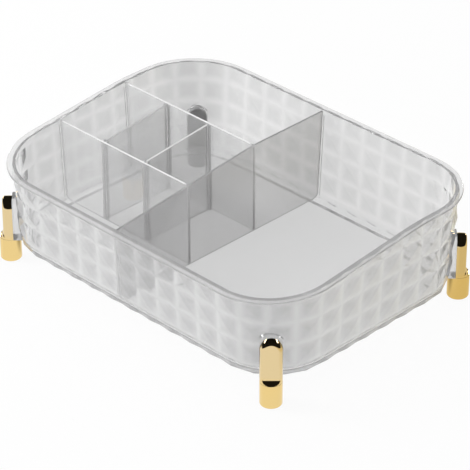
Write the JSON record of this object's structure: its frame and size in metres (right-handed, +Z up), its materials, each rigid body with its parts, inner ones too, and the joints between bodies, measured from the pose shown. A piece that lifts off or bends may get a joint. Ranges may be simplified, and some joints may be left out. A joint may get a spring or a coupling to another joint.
{
  "type": "vanity organizer",
  "caption": "Clear faceted vanity tray with a sloped rim, lift-out smoke dividers and plated corner feet, for keeping cosmetics sorted on a dresser.",
  "frame": {"origin": "on the table, under the middle of the tray", "axes": "+X along the length, with the dividers on the -X side; +Y from the low front wall to the high back wall; +Z up"},
  "size_m": [0.3, 0.219, 0.0924],
  "materials": {
    "clear_plastic": "clear, faintly grey, polished",
    "smoke_plastic": "light smoke grey, see-through, polished",
    "gold_plating": "pale gold plating on moulded plastic, mirror bright"
  },
  "bodies": {
    "tray": {"tray": "clear_plastic", "foot_front_left": "gold_plating", "foot_front_right": "gold_plating", "foot_back_left": "gold_plating", "foot_back_right": "gold_plating"},
    "main_divider": {"main_divider": "smoke_plastic"},
    "long_divider_front": {"long_divider_front": "smoke_plastic"},
    "long_divider_back": {"long_divider_back": "smoke_plastic"},
    "short_divider_left": {"short_divider_left": "smoke_plastic"},
    "short_divider_right": {"short_divider_right": "smoke_plastic"}
  },
  "joints": [
    {"name": "main_divider_lift", "type": "slide", "parent": "tray", "child": "main_divider", "axis": [0, 0, 1], "range_m": [0, 0.08]},
    {"name": "long_divider_front_lift", "type": "slide", "parent": "tray", "child": "long_divider_front", "axis": [0, 0, 1], "range_m": [0, 0.08]},
    {"name": "long_divider_back_lift", "type": "slide", "parent": "tray", "child": "long_divider_back", "axis": [0, 0, 1], "range_m": [0, 0.08]},
    {"name": "short_divider_left_lift", "type": "slide", "parent": "tray", "child": "short_divider_left", "axis": [0, 0, 1], "range_m": [0, 0.08]},
    {"name": "short_divider_right_lift", "type": "slide", "parent": "tray", "child": "short_divider_right", "axis": [0, 0, 1], "range_m": [0, 0.08]}
  ]
}
